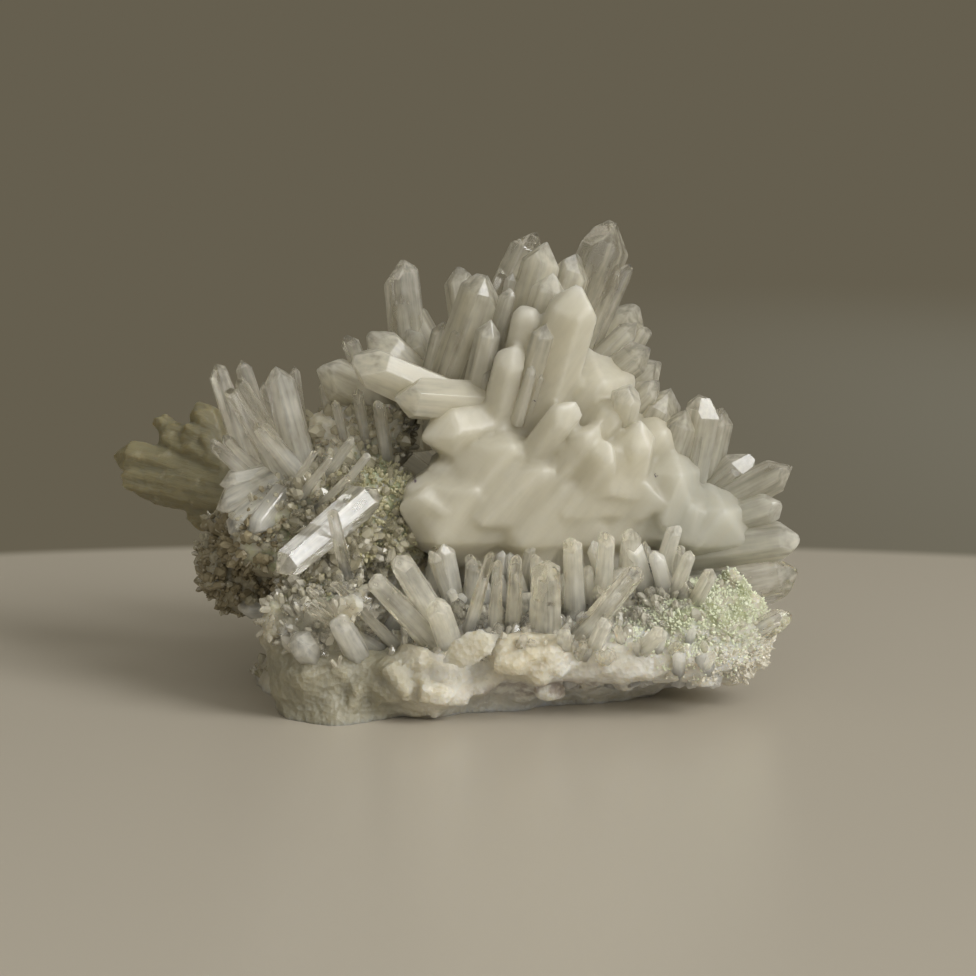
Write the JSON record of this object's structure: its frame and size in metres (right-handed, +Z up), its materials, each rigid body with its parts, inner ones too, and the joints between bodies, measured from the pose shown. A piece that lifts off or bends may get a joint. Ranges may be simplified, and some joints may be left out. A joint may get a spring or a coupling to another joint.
{
  "type": "quartz crystal cluster",
  "caption": "Natural quartz cluster: a milky fan of six-sided crystals with clear tips on a lumpy rock crust, with a clear tuft on one side.",
  "frame": {"origin": "on the flat underside that the cluster rests on, under the middle of the object", "axes": "+Z up from the resting face, -Y towards the viewer of the picture, +X to the right in it"},
  "size_m": [0.1145, 0.0723, 0.0759],
  "materials": {
    "matrix_rock": "rough grey-olive rock with small quartz grains and green chlorite",
    "milky_quartz": "glossy milky white quartz, clearer towards the tips",
    "clear_quartz": "clear glossy quartz",
    "olive_quartz": "translucent olive-brown quartz, coarse parallel crystals"
  },
  "bodies": {
    "root": {"matrix": "matrix_rock", "main_spray": "milky_quartz", "standing_crystal": "clear_quartz", "left_tuft": "clear_quartz", "olive_block": "olive_quartz", "lying_crystal": "clear_quartz", "crossing_needle": "clear_quartz", "paired_blades": "clear_quartz", "valley_prism": "clear_quartz", "leaning_rod": "clear_quartz", "low_right_crystal": "clear_quartz", "corner_crystal": "clear_quartz"}
  },
  "joints": []
}
